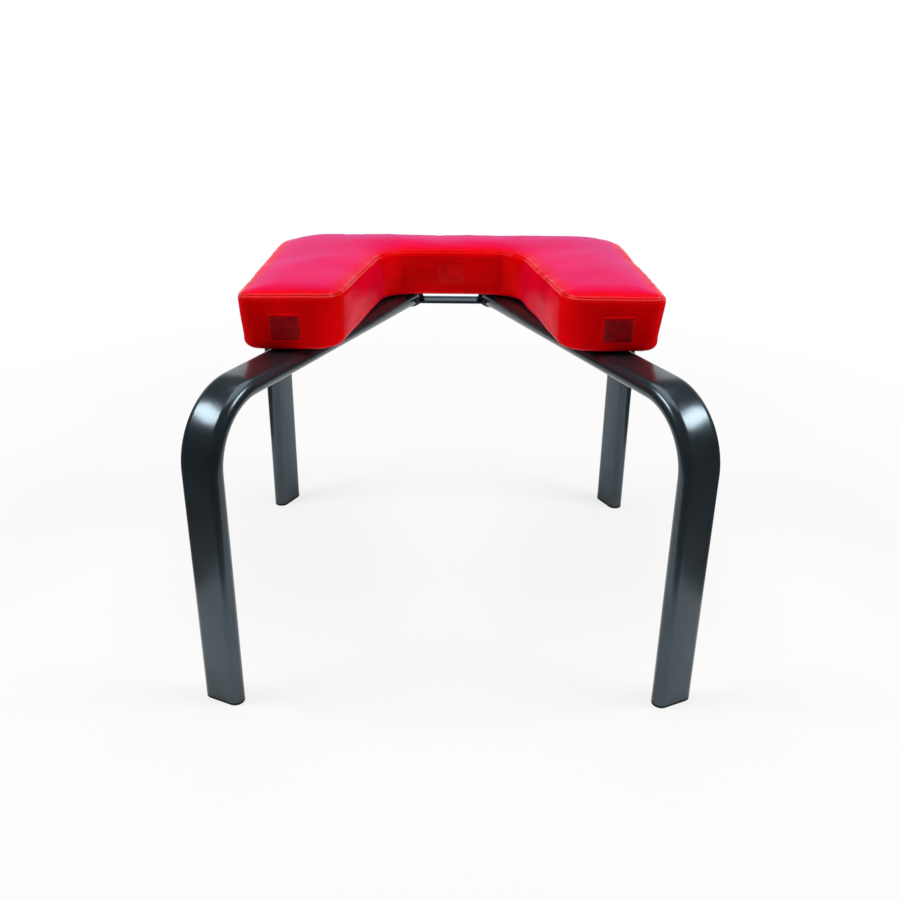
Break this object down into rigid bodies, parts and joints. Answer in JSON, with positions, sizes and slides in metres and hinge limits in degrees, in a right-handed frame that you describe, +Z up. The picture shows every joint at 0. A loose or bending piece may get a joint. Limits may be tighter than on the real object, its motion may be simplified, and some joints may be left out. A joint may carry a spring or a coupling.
{
  "type": "yoga headstand stool",
  "caption": "Low headstand stool: a U-shaped crowned vinyl pad, open at the front for the neck, bolted to a welded frame of bent flat-oval tube legs with plastic foot plugs.",
  "frame": {"origin": "on the floor, under the middle of the footprint of the whole stool", "axes": "+Z up, +Y to the closed rear of the pad, +X to the right seen from the open front; the neck opening faces -Y"},
  "size_m": [0.4836, 0.4537, 0.3851],
  "materials": {
    "painted_tube": "gunmetal grey metallic powder coat, semi-gloss",
    "weld": "painted weld bead",
    "black_plastic": "moulded, matt",
    "red_vinyl": "smooth red vinyl leathercloth, semi-gloss",
    "patch_vinyl": "smooth red vinyl, sewn on",
    "foam": "open-cell polyurethane foam",
    "plywood": "raw birch plywood",
    "dust_cloth": "black non-woven felt",
    "zinc_steel": "bright zinc plate"
  },
  "bodies": {
    "root": {"front_left_leg_tube": "painted_tube", "front_right_leg_tube": "painted_tube", "rear_left_leg_tube": "painted_tube", "rear_right_leg_tube": "painted_tube", "cross_plate": "painted_tube", "left_mitre_weld": "weld", "right_mitre_weld": "weld", "left_plate_weld": "weld", "right_plate_weld": "weld", "front_left_foot_plug": "black_plastic", "front_right_foot_plug": "black_plastic", "rear_left_foot_plug": "black_plastic", "rear_right_foot_plug": "black_plastic", "pad_top_panel": "red_vinyl", "pad_side_band": "red_vinyl", "left_arm_patch": "patch_vinyl", "right_arm_patch": "patch_vinyl", "opening_patch": "patch_vinyl", "pad_foam": "foam", "pad_base_board": "plywood", "pad_dust_cover": "dust_cloth", "front_left_pad_bolt": "zinc_steel", "front_left_washer": "zinc_steel", "front_left_tee_nut": "zinc_steel", "front_right_pad_bolt": "zinc_steel", "front_right_washer": "zinc_steel", "front_right_tee_nut": "zinc_steel", "rear_left_pad_bolt": "zinc_steel", "rear_left_washer": "zinc_steel", "rear_left_tee_nut": "zinc_steel", "rear_right_pad_bolt": "zinc_steel", "rear_right_washer": "zinc_steel", "rear_right_tee_nut": "zinc_steel"}
  },
  "joints": []
}
